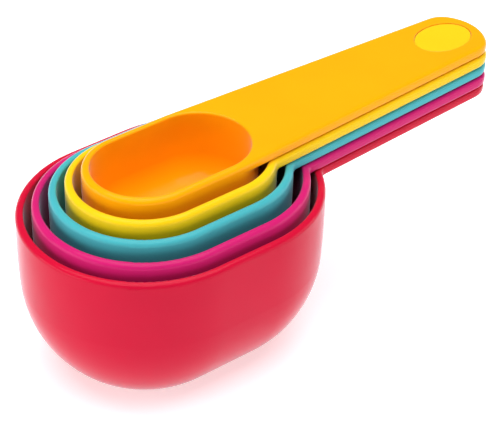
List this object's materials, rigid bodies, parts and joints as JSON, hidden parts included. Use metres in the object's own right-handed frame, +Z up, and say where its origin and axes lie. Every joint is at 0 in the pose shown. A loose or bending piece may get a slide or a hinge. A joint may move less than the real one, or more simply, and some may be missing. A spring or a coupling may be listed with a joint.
{
  "type": "measuring cup set",
  "caption": "Nested measuring cups: oblong bowls with flat handles flush with their rims, stacked handle on handle, with an oval badge let into each handle.",
  "frame": {"origin": "centre of the largest cup's flat foot", "axes": "+X along the handles, away from the bowls; +Y across the handles; +Z up, out of the cups' mouths"},
  "size_m": [0.177, 0.0788, 0.0702],
  "materials": {
    "red": "glossy moulded plastic",
    "magenta": "glossy moulded plastic",
    "teal": "glossy moulded plastic",
    "yellow": "glossy moulded plastic",
    "orange": "glossy moulded plastic"
  },
  "bodies": {
    "red_cup": {"red_one_cup": "red", "one_cup_badge": "orange"},
    "magenta_cup": {"magenta_half_cup": "magenta", "half_cup_badge": "red"},
    "teal_cup": {"teal_third_cup": "teal", "third_cup_badge": "magenta"},
    "yellow_cup": {"yellow_quarter_cup": "yellow", "quarter_cup_badge": "teal"},
    "orange_cup": {"orange_eighth_cup": "orange", "eighth_cup_badge": "yellow"}
  },
  "joints": [
    {"name": "magenta_cup_lift", "type": "slide", "parent": "red_cup", "child": "magenta_cup", "axis": [0, 0, 1], "range_m": [0, 0.04]},
    {"name": "teal_cup_lift", "type": "slide", "parent": "magenta_cup", "child": "teal_cup", "axis": [0, 0, 1], "range_m": [0, 0.038]},
    {"name": "yellow_cup_lift", "type": "slide", "parent": "teal_cup", "child": "yellow_cup", "axis": [0, 0, 1], "range_m": [0, 0.038]},
    {"name": "orange_cup_lift", "type": "slide", "parent": "yellow_cup", "child": "orange_cup", "axis": [0, 0, 1], "range_m": [0, 0.033]}
  ]
}
